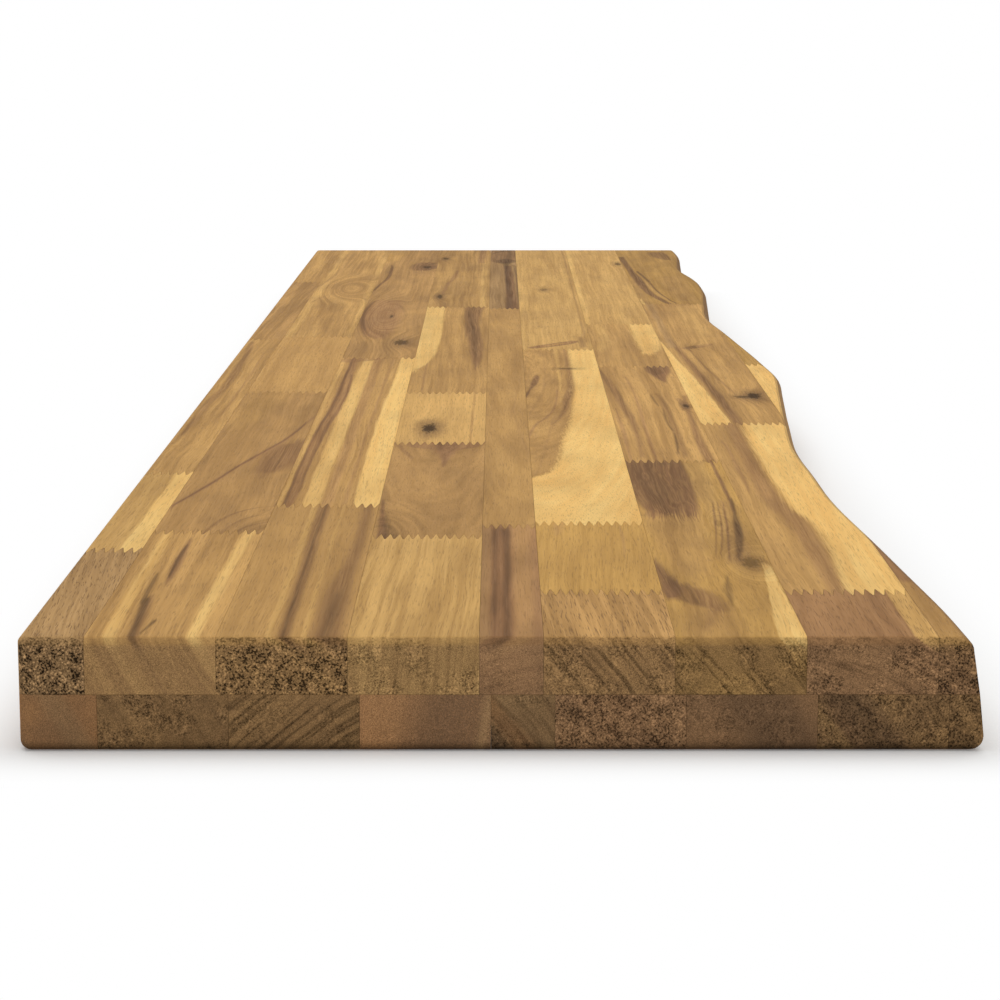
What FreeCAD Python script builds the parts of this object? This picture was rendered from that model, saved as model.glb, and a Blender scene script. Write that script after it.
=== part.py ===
"""Table top of finger-jointed solid wood: two layers of edge-glued staves, one straight
edge and one natural (live) edge. Millimetres, +X from the straight edge to the live edge,
+Y along the board from its near end, +Z up, origin under the middle of the board."""
import FreeCAD, Part
import math
import os

import Sketcher
from FreeCAD import Placement, Rotation, Vector

# The driving sizes, in millimetres. Each becomes a cell of the sheet with this alias.
SIZES = {
    "board_length": 1600,
    "layer_thickness": 20,
    "glue_line": 0.1,
    # widths of the staves: full ones, the one ripped down beside the straight edge and the
    # narrow one in the middle
    "stave_width": 45,
    "edge_stave": 23,
    "narrow_stave": 22,
    # how far the base layer's seams lie past the top layer's
    "seam_stagger": 4,
    # the finger joints, whose zigzag shows on the faces
    "finger_pitch": 3.75,
    "finger_length": 10,
    "finger_tip": 0.5,
    # the natural edge: the distance between its stations, how far its foot stands out past
    # the edge seen from above, its belly halfway down, and the rounds of its shoulder and foot
    "wave_step": 50,
    "lean_foot": 6.5,
    "belly": 0.4,
    "shoulder": 5,
    "live_foot": 5.5,
    # rounds on the upright corners and on the arrises of the top and the underside
    "corner_round": 4,
    "top_arris": 2.5,
    "foot_arris": 3.5,
}

# The natural edge seen from above, at stations a wave step apart from the near end: how
# far it stands out past the top layer's last seam. The last station lies past the far end.
WAVE = (
    9.5, 8.1, 5.3, 2.5, -0.5, -3.7, -5.4, -5.5, -6.2, -4.8, -1.5,
    1.8, 5.5, 9.2, 12.4, 10.9, 8.6, 5.8, 2.9, -0.1, -3.5, -3.8,
    -0.4, 2.6, 6.3, 7.6, 7.6, 4.3, 0.6, 2.2, 5.5, 7.6, 7.0, 6.0,
)

# The staves of a layer from the straight edge across, each with its width. The last one
# keeps the natural edge, and its blank reaches past it.
LIVE_BLANK = "live_blank"
STAVES = (
    ("straight_edge", "edge_stave"),
    ("stave_2", "stave_width"),
    ("stave_3", "stave_width"),
    ("stave_4", "stave_width"),
    ("narrow_stave", "narrow_stave"),
    ("stave_6", "stave_width"),
    ("stave_7", "stave_width"),
    ("stave_8", "stave_width"),
    ("live_edge", LIVE_BLANK),
)

# The cut list: the length of each block of a stave, counted from joint to joint and from
# the near end. REST is the block that takes up what the others leave. The live edge's
# blocks are counted in wave steps, because its joints belong to its bulges.
REST = None
TOP_CUTS = {
    "straight_edge": (158, 189, REST, 400, 310),
    "stave_2": (197, 432, 276, REST),
    "stave_3": (260, 528, REST),
    "stave_4": (187, 252, 188, 470, REST),
    "narrow_stave": (210, REST, 514),
    "stave_6": (76, 141, 616, REST),
    "stave_7": (382, 364, 235, REST),
    "stave_8": (76, 430, 612, REST),
    "live_edge": (7.6, 7.5, 5, REST),
}
BASE_CUTS = {
    "straight_edge": (424, REST, 505),
    "stave_2": (305, 520, REST),
    "stave_3": (512, REST),
    "stave_4": (338, REST, 470),
    "narrow_stave": (446, REST),
    "stave_6": (585, REST),
    "stave_7": (560, REST),
    "stave_8": (286, 478, REST),
    "live_edge": (7.2, 13.4, REST),
}

doc = FreeCAD.newDocument("table_top")
sheet = doc.addObject("Spreadsheet::Sheet", "Sizes")


def cell(alias, value):
    """Writes one size into the sheet's next row, under its alias."""
    cell.row += 1
    sheet.set(f"A{cell.row}", alias)
    sheet.set(f"B{cell.row}", str(value))
    sheet.setAlias(f"B{cell.row}", alias)


cell.row = 0
for alias, value in SIZES.items():
    cell(alias, value)
for station, stand_out in enumerate(WAVE):
    cell(f"wave_{station}", stand_out)
for layer, cuts in (("top", TOP_CUTS), ("base", BASE_CUTS)):
    for stave, lengths in cuts.items():
        for number, length in enumerate(lengths, 1):
            if length is not REST:
                cell(f"{layer}_{stave}_cut_{number}", length)
doc.recompute()


def size(alias):
    """The number in a cell of the sheet."""
    return float(sheet.get(alias))


def plus(terms):
    """Joins terms into one expression, with brackets, or 0 where there is none."""
    return "(" + " + ".join(terms) + ")" if terms else "0"


def seam(layer, count):
    """Expression for how far a layer's seam lies from the straight edge, with this many
    staves before it. The base layer's seams are staggered, so its first stave is wider."""
    terms = [f"Sizes.{width}" for _, width in STAVES[:count]]
    if count and layer == "base":
        terms.append("Sizes.seam_stagger")
    return plus(terms)


def cut_length(layer, stave, cuts, number):
    """Expression for a block's length from joint to joint."""
    if cuts[number] is REST:
        others = [cut_length(layer, stave, cuts, i) for i in range(len(cuts)) if i != number]
        return f"(Sizes.board_length - {plus(others)})"
    unit = "Sizes.wave_step" if stave == "live_edge" else "1"
    return f"Sizes.{layer}_{stave}_cut_{number + 1} * {unit}"


ROUND_STEPS = 6  # strips in each quarter round of the natural edge


# The side of the natural edge, as one closed form that reaches from it across the whole
# board. It only trims the blocks beside that edge and isn't a piece itself.
def side_profile():
    """The natural side's section from the underside up: its height and how far it stands
    out past the edge seen from above. A quarter round at the foot, a lean inwards with a
    little belly, and a quarter round at the shoulder, half of which shows from above."""
    thickness = 2 * size("layer_thickness") + size("glue_line")
    foot, shoulder, lean = size("live_foot"), size("shoulder"), size("lean_foot")
    quarter = [math.pi / 2 * i / ROUND_STEPS for i in range(ROUND_STEPS + 1)]
    low = [(foot - foot * math.cos(a), lean - foot + foot * math.sin(a)) for a in quarter]
    high = [
        (thickness - shoulder + shoulder * math.cos(a), shoulder * math.sin(a) - shoulder / 2)
        for a in reversed(quarter)
    ]
    belly = (thickness / 2, (lean + shoulder / 2) / 2 + size("belly"))
    return low + [belly] + high


def side_outline(height, stand_out):
    """The natural edge's line at one height, closed around the board's straight edge."""
    step = size("wave_step")
    last_seam = sum(size(width) for _, width in STAVES[:-1])
    stations = math.ceil(size("board_length") / step) + 2
    wave = [size(f"wave_{i % len(WAVE)}") for i in range(stations)]
    wave.insert(0, 2 * wave[0] - wave[1])
    points = [
        Vector(last_seam + out + stand_out, i * step, height) for i, out in enumerate(wave, -1)
    ]
    curve = Part.BSplineCurve()
    curve.interpolate(points)
    far = Vector(-step, points[-1].y, height)
    near = Vector(-step, points[0].y, height)
    back = Part.makePolygon([points[-1], far, near, points[0]])
    return Part.Wire([curve.toShape()] + back.Edges)


live_side = doc.addObject("Part::Feature", "live_side")
outlines = [side_outline(*level) for level in side_profile()]
live_side.Shape = Part.makeLoft(outlines, True, True)

# The origin goes under the middle of the board, so its width at its widest is worked out
# from the part of that form that is as long as the board.
reach = live_side.Shape.BoundBox
board_stretch = Part.makeBox(reach.XMax, size("board_length"), reach.ZMax)
widest = live_side.Shape.common(board_stretch).optimalBoundingBox(False).XMax
cell("overall_width", widest)
staves_before = " - ".join(width for _, width in STAVES[:-1])
cell(LIVE_BLANK, f"=overall_width + shoulder - {staves_before}")
doc.recompute()
live_side.Placement = Placement(Vector(-widest / 2, -size("board_length") / 2, 0), Rotation())


# How a sketch numbers its own origin: its level axis is line -1, its upright one line -2.
ORIGIN = (-1, 1)
FLAT = 0.01  # a point this near a face lies on it


def attached_sketch(body, name):
    """A sketch on the body's own level plane."""
    sketch = body.newObject("Sketcher::SketchObject", f"{body.Name}_{name}")
    level = next(f for f in body.Origin.OriginFeatures if f.Role == "XY_Plane")
    sketch.AttachmentSupport = [(level, "")]
    sketch.MapMode = "FlatFace"
    return sketch


def closed_outline(sketch, points):
    """Draws a closed outline of straight lines through the points. Returns its first line."""
    first = sketch.GeometryCount
    count = len(points)
    for i in range(count):
        sketch.addGeometry(Part.LineSegment(points[i], points[(i + 1) % count]))
    for i in range(count):
        ends = (first + i, 2, first + (i + 1) % count, 1)
        sketch.addConstraint(Sketcher.Constraint("Coincident", *ends))
    return first


def bind(sketch, kind, places, expression):
    """Adds a distance to the sketch and binds it to an expression."""
    value = sketch.evalExpression(expression)
    index = sketch.addConstraint(Sketcher.Constraint(kind, *places, value))
    sketch.setExpression(f"Constraints[{index}]", expression)


def from_axis(sketch, kind, line, expression):
    """Places a line's start along one axis of the sketch: on the other axis where the
    expression is 0, and otherwise at a bound distance from it."""
    if expression == "0":
        axis = -1 if kind == "DistanceY" else -2
        sketch.addConstraint(Sketcher.Constraint("PointOnObject", line, 1, axis))
    else:
        bind(sketch, kind, (*ORIGIN, line, 1), expression)


def blank(body, left, span, low, high):
    """The block's square blank: a rectangle, of which all four sizes are expressions, made
    as thick as its layer. Returns the pad."""
    sketch = attached_sketch(body, "blank")
    x0, dx, y0, y1 = (sketch.evalExpression(e) for e in (left, span, low, high))
    corners = [Vector(x0, y0), Vector(x0 + dx, y0), Vector(x0 + dx, y1), Vector(x0, y1)]
    bottom = closed_outline(sketch, corners)
    for line, kind in enumerate(("Horizontal", "Vertical", "Horizontal", "Vertical")):
        sketch.addConstraint(Sketcher.Constraint(kind, bottom + line))
    from_axis(sketch, "DistanceX", bottom, left)
    from_axis(sketch, "DistanceY", bottom, low)
    bind(sketch, "DistanceX", (bottom, 1, bottom, 2), span)
    bind(sketch, "DistanceY", (*ORIGIN, bottom + 2, 2), high)
    pad = body.newObject("PartDesign::Pad", f"{body.Name}_pad")
    pad.Profile = sketch
    pad.setExpression("Length", "Sizes.layer_thickness")
    return pad


def eased(body, base, name, radius, picks):
    """Rounds those edges of a body's feature whose middle point the test picks."""
    doc.recompute([base])
    edges = [
        f"Edge{i}"
        for i, edge in enumerate(base.Shape.Edges, 1)
        if picks(edge.valueAt((edge.FirstParameter + edge.LastParameter) / 2))
    ]
    fillet = body.newObject("PartDesign::Fillet", f"{body.Name}_{name}")
    fillet.Base = (base, edges)
    fillet.setExpression("Radius", f"Sizes.{radius}")
    return fillet


def finger_gap(sketch, centre, narrow, narrow_at, wide, wide_at):
    """One gap between two fingers: a tapering slot about an upright centre line, from its
    narrow bottom to its wide mouth. All five sizes are expressions."""
    c, n, n_at, w, w_at = (
        sketch.evalExpression(e) for e in (centre, narrow, narrow_at, wide, wide_at)
    )
    first = closed_outline(
        sketch,
        [
            Vector(c - n / 2, n_at),
            Vector(c + n / 2, n_at),
            Vector(c + w / 2, w_at),
            Vector(c - w / 2, w_at),
        ],
    )
    if centre == "0":
        line = -2
    else:
        line = sketch.addGeometry(Part.LineSegment(Vector(c, n_at), Vector(c, w_at)), True)
        sketch.addConstraint(Sketcher.Constraint("Vertical", line))
        sketch.addConstraint(Sketcher.Constraint("PointOnObject", line, 1, first))
        sketch.addConstraint(Sketcher.Constraint("PointOnObject", line, 2, first + 2))
        bind(sketch, "DistanceX", (*ORIGIN, line, 1), centre)
    for start, end in ((first, first), (first + 2, first + 2)):
        sketch.addConstraint(Sketcher.Constraint("Symmetric", start, 1, end, 2, line))
    bind(sketch, "DistanceX", (first, 1, first, 2), narrow)
    bind(sketch, "DistanceX", (first + 2, 2, first + 2, 1), wide)
    from_axis(sketch, "DistanceY", first, narrow_at)
    from_axis(sketch, "DistanceY", first + 2, wide_at)


def fingers(body, width, near_joint, far_joint, reach):
    """Cuts the gaps between the fingers of one or both ends, repeated across the block.
    The far end's gaps are wider by a glue line each side than the fingers that enter."""
    if not near_joint and not far_joint:
        return
    sketch = attached_sketch(body, "finger_gaps")
    tip = "Sizes.finger_tip"
    root = "(Sizes.finger_pitch - Sizes.finger_tip)"
    if near_joint:
        finger_gap(sketch, "0", tip, "Sizes.finger_length", root, "0")
    if far_joint:
        room = "2 * Sizes.glue_line"
        depth = f"{reach} - Sizes.finger_length"
        finger_gap(
            sketch, "Sizes.finger_pitch / 2", f"{tip} + {room}", depth, f"{root} + {room}", reach
        )
    pocket = body.newObject("PartDesign::Pocket", f"{body.Name}_gap_cut")
    pocket.Profile = sketch
    pocket.Type = "ThroughAll"
    pocket.Midplane = True
    pattern = body.newObject("PartDesign::LinearPattern", f"{body.Name}_gap_row")
    pattern.Originals = [pocket]
    pattern.Direction = (sketch, ["H_Axis"])
    row = f"ceil({width} / Sizes.finger_pitch)"
    pattern.setExpression("Occurrences", f"{row} + 1")
    pattern.setExpression("Length", f"{row} * Sizes.finger_pitch")
    body.Tip = pattern


def block(layer, stave, number, count, place, width, start, length):
    """One block of a stave, with fingers at each end that meets another block, and its
    outside corners and arrises eased. A block beside the natural edge is trimmed by it.
    Returns the finished sub-part."""
    near_joint = number > 1
    far_joint = number < count
    straight = stave == "straight_edge"
    trims = stave in ("stave_8", "live_edge")
    name = f"{layer}_{stave}_block_{number}"
    body = doc.addObject("PartDesign::Body", f"{name}_blank" if trims else name)
    body.Label = body.Name
    reach = plus([length] + ["Sizes.finger_length / 2"] * (near_joint + far_joint))
    left = "0" if straight else "Sizes.glue_line / 2"
    span = f"{width} - Sizes.glue_line / {2 if straight else 1}"
    low = "Sizes.glue_line" if near_joint else "0"
    high = f"{reach} - Sizes.glue_line" if far_joint else reach
    pad = blank(body, left, span, low, high)

    end = pad.evalExpression(high)
    level = size("layer_thickness") if layer == "top" else 0
    corner = size("corner_round")

    def at_end(point):
        return (point.y < corner and not near_joint) or (point.y > end - corner and not far_joint)

    def at_side(point):
        return straight and point.x < corner

    def on_face(point):
        return abs(point.z - level) < FLAT

    if straight and not (near_joint and far_joint):
        pad = eased(body, pad, "corners", "corner_round", lambda p: at_side(p) and at_end(p)
                    and abs(p.z - size("layer_thickness") / 2) < FLAT)
    if straight or not (near_joint and far_joint):
        radius = "top_arris" if layer == "top" else "foot_arris"
        eased(body, pad, "arris", radius, lambda p: on_face(p) and (at_side(p) or at_end(p)))
    fingers(body, width, near_joint, far_joint, reach)

    back = " - Sizes.finger_length / 2" if near_joint else ""
    body.setExpression("Placement.Base.x", f"{place} - Sizes.overall_width / 2")
    body.setExpression("Placement.Base.y", f"{start}{back} - Sizes.board_length / 2")
    if layer == "top":
        body.setExpression("Placement.Base.z", "Sizes.layer_thickness + Sizes.glue_line")
    if not trims:
        return body
    piece = doc.addObject("Part::Common", name)
    piece.Label = name
    piece.Base = body
    piece.Tool = live_side
    return piece


pieces = []
for layer, cuts in (("top", TOP_CUTS), ("base", BASE_CUTS)):
    for index, (stave, width_alias) in enumerate(STAVES):
        lengths = [cut_length(layer, stave, cuts[stave], i) for i in range(len(cuts[stave]))]
        width = f"Sizes.{width_alias}"
        if layer == "base" and index == 0:
            width = f"({width} + Sizes.seam_stagger)"
        for i, length in enumerate(lengths):
            place = (seam(layer, index), width, plus(lengths[:i]), length)
            pieces.append(block(layer, stave, i + 1, len(lengths), *place))

doc.recompute()
for item in doc.Objects:
    if {"Invalid", "Error"} & set(item.State):
        raise RuntimeError(f"{item.Label} did not compute: {item.State}")
for piece in pieces:
    if piece.Shape.isNull() or not piece.Shape.isValid() or len(piece.Shape.Solids) != 1:
        raise RuntimeError(f"{piece.Label} isn't one valid solid")

os.makedirs("parts", exist_ok=True)
for piece in pieces:
    piece.Shape.exportStep(f"parts/{piece.Label}.step")
whole = Part.Compound([piece.Shape for piece in pieces])
print(f"{len(pieces)} pieces, {whole.optimalBoundingBox(False)}")
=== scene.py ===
"""The looks of a laminated acacia table top with one live edge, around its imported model.

Lengths in the finishes are millimetres in the board's own frame: across from the straight
edge, along from the near end and up from the underside. Colours are written as sRGB.
"""
from __future__ import annotations

import logging
import math
from dataclasses import dataclass
from enum import Enum

import bpy
import numpy as np
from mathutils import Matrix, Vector


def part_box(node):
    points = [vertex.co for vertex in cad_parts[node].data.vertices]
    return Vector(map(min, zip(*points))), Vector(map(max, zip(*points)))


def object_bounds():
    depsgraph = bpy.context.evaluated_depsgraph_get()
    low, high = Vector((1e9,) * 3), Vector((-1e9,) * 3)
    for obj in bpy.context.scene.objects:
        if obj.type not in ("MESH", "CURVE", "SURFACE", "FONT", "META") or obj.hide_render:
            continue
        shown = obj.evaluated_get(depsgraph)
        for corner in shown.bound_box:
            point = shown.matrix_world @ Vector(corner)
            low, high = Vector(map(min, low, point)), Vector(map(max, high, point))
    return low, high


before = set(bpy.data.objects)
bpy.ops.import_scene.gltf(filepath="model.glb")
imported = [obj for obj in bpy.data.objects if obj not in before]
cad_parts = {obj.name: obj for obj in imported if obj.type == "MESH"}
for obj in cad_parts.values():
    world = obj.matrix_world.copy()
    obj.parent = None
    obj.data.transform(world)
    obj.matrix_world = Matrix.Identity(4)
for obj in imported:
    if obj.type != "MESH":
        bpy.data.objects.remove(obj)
CAD_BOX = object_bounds()
log = logging.getLogger("table_top")

MM = 0.001
GAMMA = 2.2
NOISE_MEAN = 0.5
WHITE = (1.0, 1.0, 1.0, 1.0)
UNDERSIDE = 0.0
TOP_SEED, BASE_SEED = 1, 51
STRAIGHT_EDGE = CAD_BOX[0][0] / MM
NEAR_END = CAD_BOX[0][1] / MM
TOP_FACE = CAD_BOX[1][2] / MM
Socket = bpy.types.NodeSocket
Value = "Socket | float | tuple[float, ...] | None"


class Tone(Enum):
    """The woods' colours: the light and the dark of each, as sRGB out of 255."""

    TAN = ((212, 166, 101), (175, 134, 80))
    GOLDEN = ((230, 184, 113), (196, 153, 91))
    SAPWOOD = ((255, 213, 134), (246, 195, 115))
    OLIVE = ((218, 171, 97), (186, 143, 79))
    GREY = ((196, 156, 104), (158, 123, 79))
    BROWN = ((201, 156, 97), (166, 127, 77))
    RED = ((180, 136, 91), (146, 107, 70))
    ORANGE = ((196, 142, 86), (160, 110, 64))
    STREAK = ((152, 112, 76), (112, 80, 53))
    BLACK = ((94, 68, 46), (54, 38, 26))


def linear(colour: tuple[int, int, int]) -> tuple[float, float, float, float]:
    """Turns an sRGB colour out of 255 into a linear one with full alpha.

    Args:
        colour: Red, green and blue from 0 to 255.

    Returns:
        The four numbers that a colour socket takes.
    """
    parts = [c / 255 for c in colour]
    rgb = [c / 12.92 if c <= 0.04045 else ((c + 0.055) / 1.055) ** 2.4 for c in parts]
    return (*rgb, 1.0)


@dataclass(frozen=True)
class Streak:
    """A stripe, line or patch of another colour that lies along the grain.

    Args:
        path: Points along its middle, from the near end on: across, along and width.
        tone: Its colour.
        strength: How fully it covers the wood, from 0 to 1.
        soft: How wide the fade at its sides is.
        fade: How long the fade at its ends is.
    """

    path: tuple[tuple[float, float, float], ...]
    tone: Tone
    strength: float
    soft: float
    fade: float

    @property
    def reach(self) -> float:
        """How far its middle goes across from its first point, 1 at the least."""
        return max(max(abs(point[0] - self.path[0][0]) for point in self.path), 1.0)


def drawn(
    tone: Tone, strength: float, soft: float, *path: tuple[float, float, float],
    fade: float = 12.0,
) -> Streak:
    """Draws a streak.

    Args:
        tone: Its colour.
        strength: How fully it covers the wood.
        soft: How wide the fade at its sides is.
        path: Points along its middle, each one across, along and width.
        fade: How long the fade at its ends is.

    Returns:
        The streak.
    """
    return Streak(path, tone, strength, soft, fade)


@dataclass(frozen=True)
class Knot:
    """A knot or an eye in the figure.

    Args:
        centre: Where it is, across and along.
        size: Half its width and half its length.
        dark: How dark its core is, from 0 for an eye of rings alone.
        push: How far it turns the rings aside.
    """

    centre: tuple[float, float]
    size: tuple[float, float] = (2.5, 6.0)
    dark: float = 1.0
    push: float = 6.0


@dataclass(frozen=True)
class Figure:
    """How one block was sawn from the tree, and what shows in it.

    Args:
        tone: The heartwood's colour.
        shade: How bright the block is against its tone.
        contrast: How far its light and dark lines part, 1 being as the tone gives them.
        cloud: How dark its slow clouds are.
        pith: How far the tree's centre lies across and up from the middle of the block.
        slant: How far the tree's centre wanders across and up for each millimetre along.
        warp: How far the rings wander slowly.
        curl: How far the rings wander quickly.
        ring: The width of a growth ring.
        pores: How plain the dark pores are.
        streaks: Its stripes, lines and patches, the later over the earlier.
        knots: Its knots and eyes.
        pits: How coarse and open its end grain is, from 0 to 1.
        end_shade: How bright its end grain is against its face.
        end_lines: How dark the rings are in its end grain.
    """

    tone: Tone = Tone.TAN
    shade: float = 1.0
    contrast: float = 1.2
    cloud: float = 0.16
    pith: tuple[float, float] = (-160.0, -90.0)
    slant: tuple[float, float] = (0.0, 0.0)
    warp: float = 7.0
    curl: float = 1.5
    ring: float = 3.0
    pores: float = 0.3
    streaks: tuple[Streak, ...] = ()
    knots: tuple[Knot, ...] = ()
    pits: float = 0.5
    end_shade: float = 0.42
    end_lines: float = 0.3


class Grain(Enum):
    """The wood's noises: how often each repeats across, along and up, and its detail.

    Most repeat so often for each millimetre. Those of the broad and fine lines repeat for
    each ring outwards, each run along and each turn about the pith.
    """

    SLOW = ((1 / 60, 1 / 190, 1 / 60), 2.0)
    QUICK = ((1 / 12, 1 / 55, 1 / 12), 2.0)
    BROAD = ((0.3, 1.0, 0.6), 2.0)
    FINE = ((1.6, 1.9, 1.2), 3.0)
    FIBRE = ((1.3, 1 / 60, 1.3), 3.0)
    PORE = ((2.4, 1 / 12, 2.4), 2.0)
    CLOUD = ((1 / 22, 1 / 75, 1 / 22), 2.0)
    PIT = ((1.35, 1.35, 1.35), 4.0)
    CLUSTER = ((0.3, 1 / 30, 0.3), 2.0)
    PATCH = ((0.075, 1 / 50, 0.075), 2.0)
    SPECK = ((2.9, 2.9, 2.9), 2.0)
    FLECK = ((1.5, 1.5, 1.0), 2.0)
    ROUGH = ((0.9, 0.2, 0.9), 3.0)


class Tree:
    """A node tree with short ways to add nodes, feed their sockets and link them."""

    def __init__(self, tree: bpy.types.NodeTree) -> None:
        """Keeps the material's or group's own tree."""
        self.tree = tree

    def feed(self, socket: Socket, value: Value) -> None:
        """Links a socket to another, or sets its value. None leaves it as it is."""
        if isinstance(value, bpy.types.NodeSocket):
            self.tree.links.new(value, socket)
        elif value is not None:
            socket.default_value = value

    def node(self, kind: str, inputs: dict | None = None, **settings) -> bpy.types.Node:
        """Adds a node.

        Args:
            kind: Its type, without the word ShaderNode in front.
            inputs: Values or sockets for its inputs, by name or number.
            settings: Properties of the node itself.

        Returns:
            The new node.
        """
        made = self.tree.nodes.new("ShaderNode" + kind)
        for name, value in settings.items():
            setattr(made, name, value)
        for name, value in (inputs or {}).items():
            self.feed(made.inputs[name], value)
        return made

    def use(self, group: bpy.types.NodeTree, **inputs: Value) -> bpy.types.NodeOutputs:
        """Places a shared group. An underscore in an input's name stands for a space."""
        made = self.tree.nodes.new("ShaderNodeGroup")
        made.node_tree = group
        for name, value in inputs.items():
            self.feed(made.inputs[name.replace("_", " ")], value)
        return made.outputs

    def math(self, operation: str, a: Value, b: Value = None, c: Value = None) -> Socket:
        """Adds a Math node and gives its result."""
        return self.node("Math", {0: a, 1: b, 2: c}, operation=operation).outputs[0]

    def times(self, a: Value, b: Value) -> Socket:
        """Multiplies two values."""
        return self.math("MULTIPLY", a, b)

    def plus(self, a: Value, b: Value) -> Socket:
        """Adds two values."""
        return self.math("ADD", a, b)

    def minus(self, a: Value, b: Value) -> Socket:
        """Takes the second value from the first."""
        return self.math("SUBTRACT", a, b)

    def times_plus(self, a: Value, b: Value, c: Value) -> Socket:
        """Multiplies the first two values and adds the third."""
        return self.math("MULTIPLY_ADD", a, b, c)

    def vector(self, operation: str, a: Value, b: Value = None) -> Socket:
        """Adds a Vector Math node and gives its vector."""
        return self.node("VectorMath", {0: a, 1: b}, operation=operation).outputs[0]

    def length(self, vector: Socket) -> Socket:
        """Gives a vector's length."""
        return self.node("VectorMath", {0: vector}, operation="LENGTH").outputs["Value"]

    def split(self, vector: Socket) -> tuple[Socket, Socket, Socket]:
        """Parts a vector into its three numbers."""
        return tuple(self.node("SeparateXYZ", {0: vector}).outputs)

    def join(self, x: Value = None, y: Value = None, z: Value = None) -> Socket:
        """Makes a vector of three numbers."""
        return self.node("CombineXYZ", {0: x, 1: y, 2: z}).outputs[0]

    def noise(self, vector: Socket, grain: Grain, output: str = "Fac") -> Socket:
        """Adds one of the wood's noises, and gives its value or its colour."""
        scale, detail = grain.value
        place = self.vector("MULTIPLY", vector, scale)
        inputs = {"Vector": place, "Scale": 1.0, "Detail": detail}
        return self.node("TexNoise", inputs).outputs[output]

    def wander(self, vector: Socket, grain: Grain) -> Socket:
        """Gives a vector of three noises, each about 0."""
        return self.vector("SUBTRACT", self.noise(vector, grain, "Color"), (NOISE_MEAN,) * 3)

    def ramp(self, value: Socket, low: Value, high: Value, smooth: bool = True) -> Socket:
        """Maps a value from low to high onto 0 to 1, and holds it at both ends."""
        kind = "SMOOTHSTEP" if smooth else "LINEAR"
        inputs = {"Value": value, "From Min": low, "From Max": high}
        return self.node("MapRange", inputs, interpolation_type=kind).outputs["Result"]

    def invert(self, value: Socket) -> Socket:
        """Gives one less the value."""
        return self.minus(1.0, value)

    def path(self, along: Socket, streak: Streak) -> Socket:
        """Carries a streak's path as a smooth curve through its points.

        Args:
            along: The place along the board.
            streak: The streak.

        Returns:
            A vector of the path's middle, less its first point's, over the path's reach,
            and of its width over its greatest width.
        """
        across, lengths, widths = (np.array(column, float) for column in zip(*streak.path))
        share = (lengths - lengths[0]) / (lengths[-1] - lengths[0])
        t = self.ramp(along, float(lengths[0]), float(lengths[-1]), smooth=False)
        node = self.node("VectorCurve", {"Vector": self.join(t, t, 0.0)})
        heights = ((across - across[0]) / streak.reach, widths / widths.max())
        for curve, values in zip(node.mapping.curves, heights):
            curve.points[0].location = (0.0, values[0])
            curve.points[1].location = (1.0, values[-1])
            for place, value in zip(share[1:-1], values[1:-1]):
                curve.points.new(place, value)
        node.mapping.update()
        return node.outputs[0]

    def mix(self, factor: Value, a: Value, b: Value, blend: str = "MIX") -> Socket:
        """Mixes two colours."""
        inputs = {"Factor": factor, 6: a, 7: b}
        return self.node("Mix", inputs, data_type="RGBA", blend_type=blend).outputs[2]


class Group(Tree):
    """A shader node group with named inputs and outputs, built once."""

    def __init__(self, name: str, inputs: dict[str, str], outputs: dict[str, str]) -> None:
        """Makes the group and its sockets.

        Args:
            name: The group's name.
            inputs: The kind of each input, by name: Float, Vector or Color.
            outputs: The same for the outputs.
        """
        super().__init__(bpy.data.node_groups.new(name, "ShaderNodeTree"))
        for way, sockets in (("INPUT", inputs), ("OUTPUT", outputs)):
            for socket, kind in sockets.items():
                kind = "NodeSocket" + kind
                self.tree.interface.new_socket(socket, in_out=way, socket_type=kind)
        self.given = self.tree.nodes.new("NodeGroupInput").outputs
        self.result = self.tree.nodes.new("NodeGroupOutput").inputs

    def give(self, **results: Value) -> bpy.types.NodeTree:
        """Links the group's outputs and gives the finished group."""
        for name, value in results.items():
            self.feed(self.result[name.replace("_", " ")], value)
        return self.tree


def kinds(floats: str = "", vectors: str = "", colors: str = "") -> dict[str, str]:
    """Lists a group's sockets, named with commas between them, by kind."""
    named = ((floats, "Float"), (vectors, "Vector"), (colors, "Color"))
    return {name.strip(): kind for names, kind in named for name in names.split(",") if name}


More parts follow.
